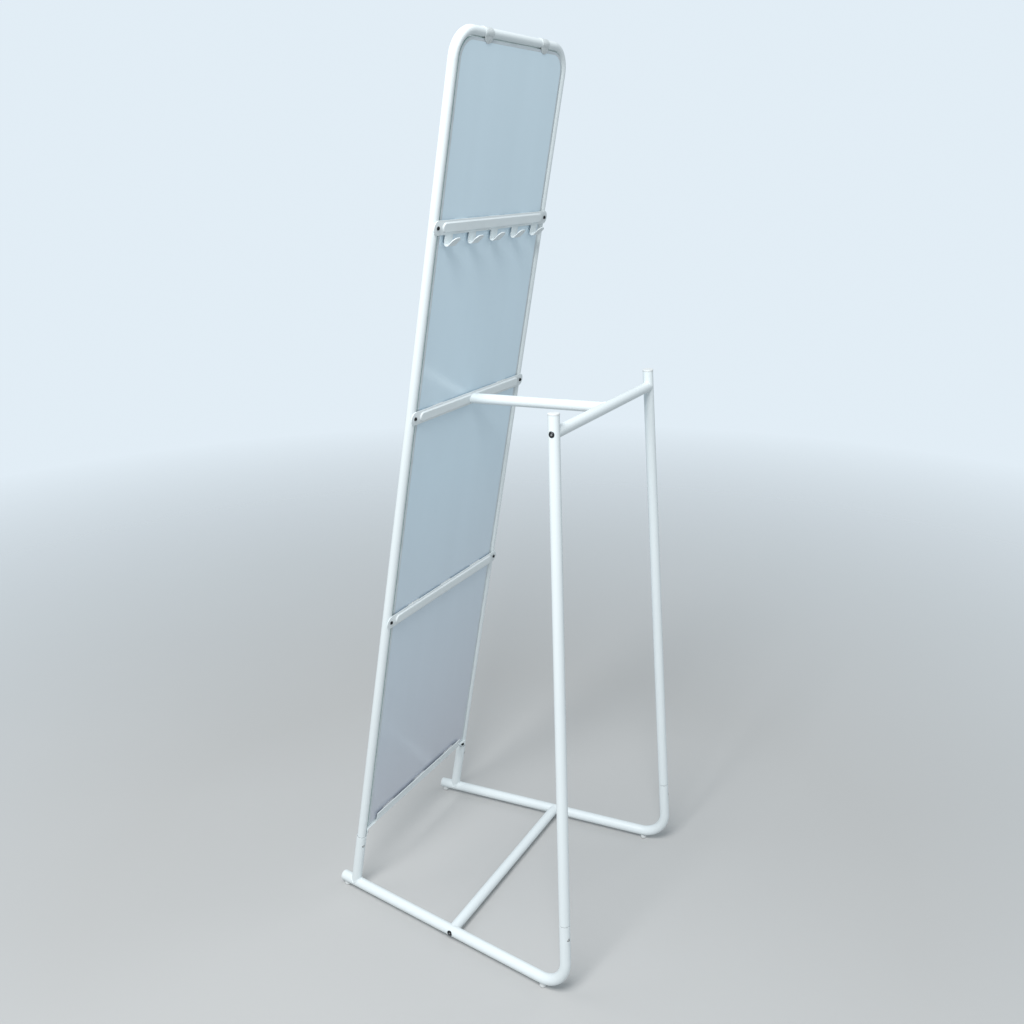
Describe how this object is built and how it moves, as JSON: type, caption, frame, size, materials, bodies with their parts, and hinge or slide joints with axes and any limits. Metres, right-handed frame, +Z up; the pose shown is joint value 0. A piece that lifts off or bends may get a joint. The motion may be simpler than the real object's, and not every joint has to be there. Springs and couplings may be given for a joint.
{
  "type": "standing mirror with clothes rack",
  "caption": "Tall leaning mirror in a bent tube frame on a splayed tube base, with a clothes rack and hooks behind it.",
  "frame": {"origin": "on the floor under the middle of the bounding box", "axes": "+Z up, the mirror faces -Y, the rack stands towards +Y, left is -X and right is +X"},
  "size_m": [0.4766, 0.53, 1.6009],
  "materials": {
    "white_powder_coat": "satin powder coat over steel",
    "mirror_glass": "silvered glass, painted on the back",
    "safety_film": "pale blue-grey film, faintly glossy",
    "clear_white_plastic": "slightly translucent",
    "white_plastic": "fine satin",
    "dark_fastener": "dark zinc",
    "zinc_insert": "bright zinc",
    "foam": "closed-cell adhesive foam"
  },
  "bodies": {
    "root": {"bottom_rail": "white_powder_coat", "bottom_rail_screws": "dark_fastener", "crossbar_screws": "dark_fastener", "depth_tube": "white_powder_coat", "depth_tube_bolt": "dark_fastener", "depth_tube_insert": "zinc_insert", "floor_crossbar": "white_powder_coat", "floor_crossbar_bolts": "dark_fastener", "floor_crossbar_inserts": "zinc_insert", "foam_pads": "foam", "foot_front_left": "white_plastic", "foot_front_right": "white_plastic", "foot_rear_left": "white_plastic", "foot_rear_right": "white_plastic", "front_seam_screws": "zinc_insert", "front_stub_left": "white_powder_coat", "front_stub_right": "white_powder_coat", "hook_bar": "white_powder_coat", "lower_crossbar": "white_powder_coat", "middle_crossbar": "white_powder_coat", "mirror_frame": "white_powder_coat", "mirror_glass": "mirror_glass", "rack_rail": "white_powder_coat", "rack_rail_bolts": "dark_fastener", "rack_rail_inserts": "zinc_insert", "rear_seam_screws": "zinc_insert", "runner_end_plug_left": "white_plastic", "runner_end_plug_right": "white_plastic", "runner_left": "white_powder_coat", "runner_right": "white_powder_coat", "safety_film": "safety_film", "top_clip_left": "clear_white_plastic", "top_clip_right": "clear_white_plastic", "upright_cap_left": "white_plastic", "upright_cap_right": "white_plastic", "upright_left": "white_powder_coat", "upright_right": "white_powder_coat"}
  },
  "joints": []
}
